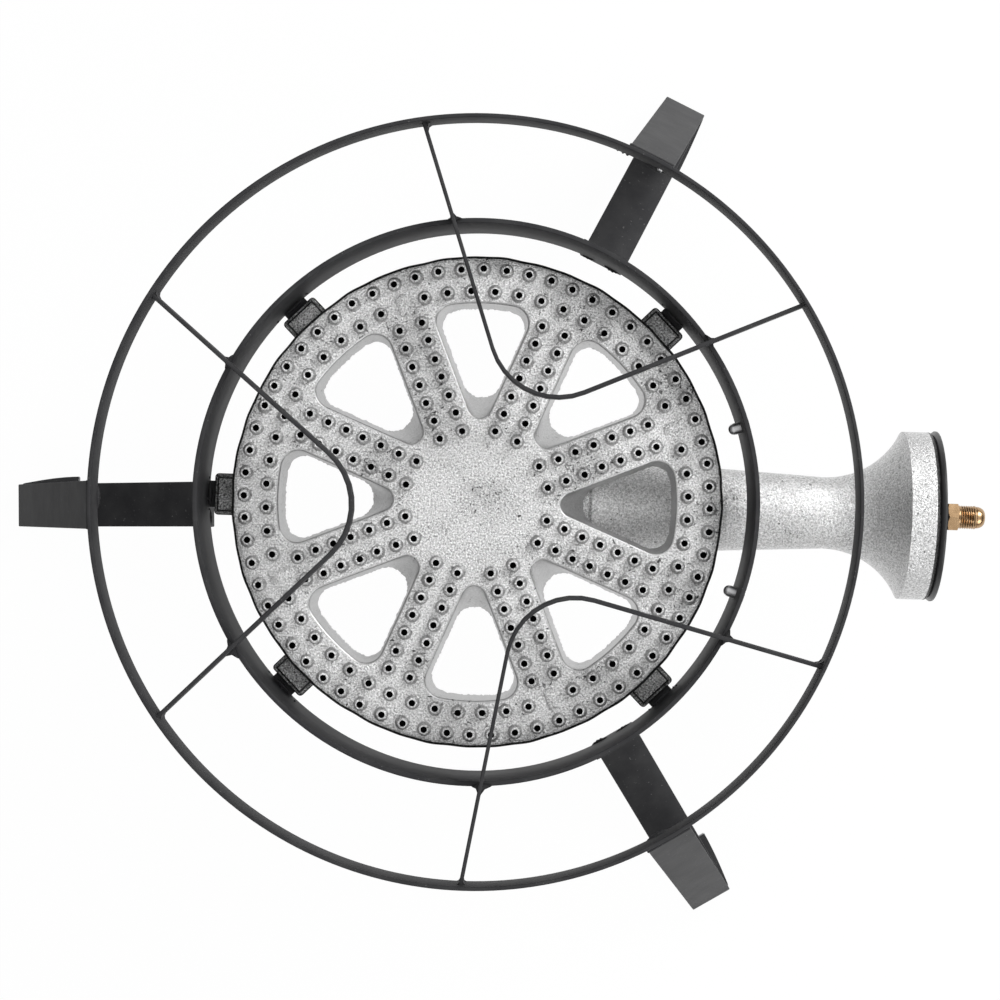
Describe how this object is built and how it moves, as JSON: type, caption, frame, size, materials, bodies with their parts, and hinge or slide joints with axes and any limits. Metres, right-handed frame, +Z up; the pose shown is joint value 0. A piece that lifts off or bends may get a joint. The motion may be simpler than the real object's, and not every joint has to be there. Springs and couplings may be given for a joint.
{
  "type": "round gas burner",
  "caption": "Round cast-iron gas burner with raised flame ports, mixer tube, air shutter and brass inlet, lying in a welded strip-steel stand with splayed legs and pot bars.",
  "frame": {"origin": "on the floor, below the centre of the outer ring", "axes": "+X along the mixer tube towards the gas inlet, +Z up"},
  "size_m": [0.5524, 0.4824, 0.23],
  "materials": {
    "stand_paint": "satin black paint",
    "bolt_steel": "blackened steel",
    "silver_casting": "silver paint over sand-cast iron",
    "shutter_black": "black paint",
    "brass": "machined"
  },
  "bodies": {
    "burner_stand": {"outer_ring": "stand_paint", "burner_band": "stand_paint", "pot_bar_1": "stand_paint", "pot_bar_2": "stand_paint", "pot_bar_3": "stand_paint", "leg_1": "stand_paint", "leg_2": "stand_paint", "leg_3": "stand_paint", "leg_brace_1": "stand_paint", "leg_brace_2": "stand_paint", "leg_brace_3": "stand_paint", "burner_seat_1": "stand_paint", "burner_seat_2": "stand_paint", "burner_seat_3": "stand_paint", "burner_seat_4": "stand_paint", "burner_seat_5": "stand_paint", "band_bolt_1": "bolt_steel", "band_bolt_2": "bolt_steel", "burner_head": "silver_casting", "mixer_tube": "silver_casting", "shutter_washer": "shutter_black", "lock_nut": "shutter_black", "gas_fitting": "brass", "gas_jet": "brass"},
    "shutter": {"air_shutter": "shutter_black"}
  },
  "joints": [
    {"name": "shutter_turn", "type": "hinge", "parent": "burner_stand", "child": "shutter", "pos_m": [0.24447, 0, 0.125], "axis": [1, 0, 0], "continuous": true}
  ]
}
